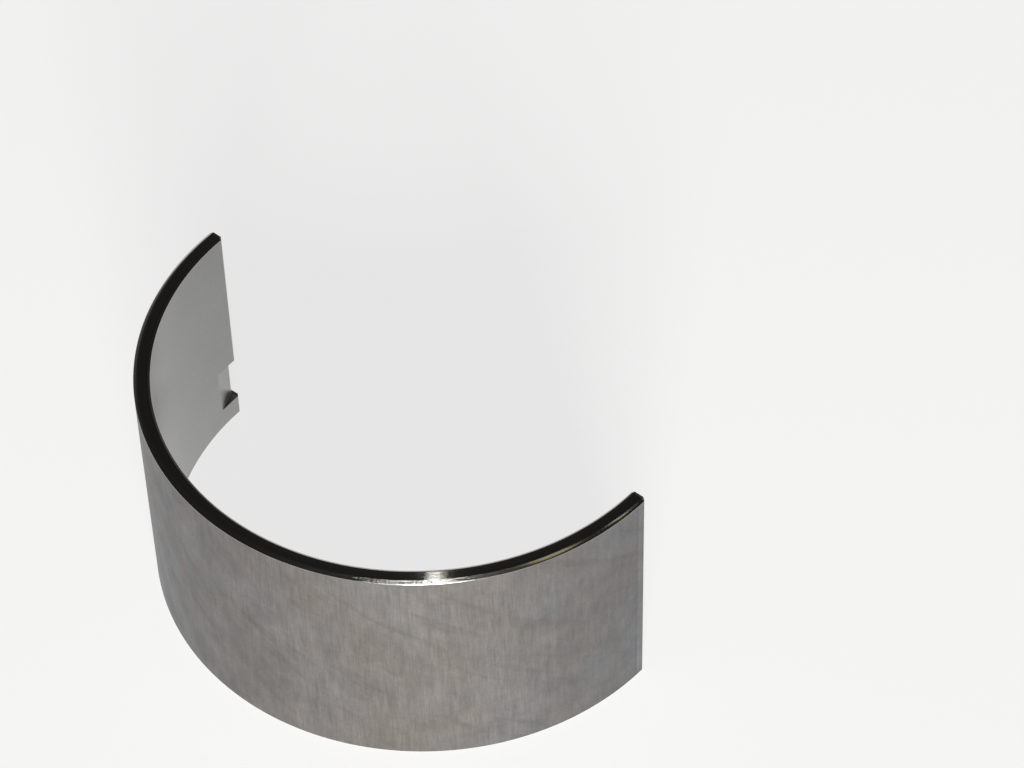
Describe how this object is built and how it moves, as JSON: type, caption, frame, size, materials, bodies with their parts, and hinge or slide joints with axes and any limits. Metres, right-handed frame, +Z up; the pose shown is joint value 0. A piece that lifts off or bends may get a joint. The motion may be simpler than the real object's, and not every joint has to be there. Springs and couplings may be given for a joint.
{
  "type": "engine bearing shell",
  "caption": "Half-round plain engine bearing shell with chamfered edges and a bent-out locating tang, lining half of the housing round a journal.",
  "frame": {"origin": "on the bore's axis, in the plane of the joint faces, at the middle of the width", "axes": "+Z up along the bore's axis, +Y out of the joint faces, +X across the joint faces to the end without the tang"},
  "size_m": [0.0685, 0.0337, 0.0316],
  "materials": {
    "bearing_steel": "satin steel back, bright machined edges and a smooth grey lined bore"
  },
  "bodies": {
    "root": {"bearing_shell": "bearing_steel"}
  },
  "joints": []
}
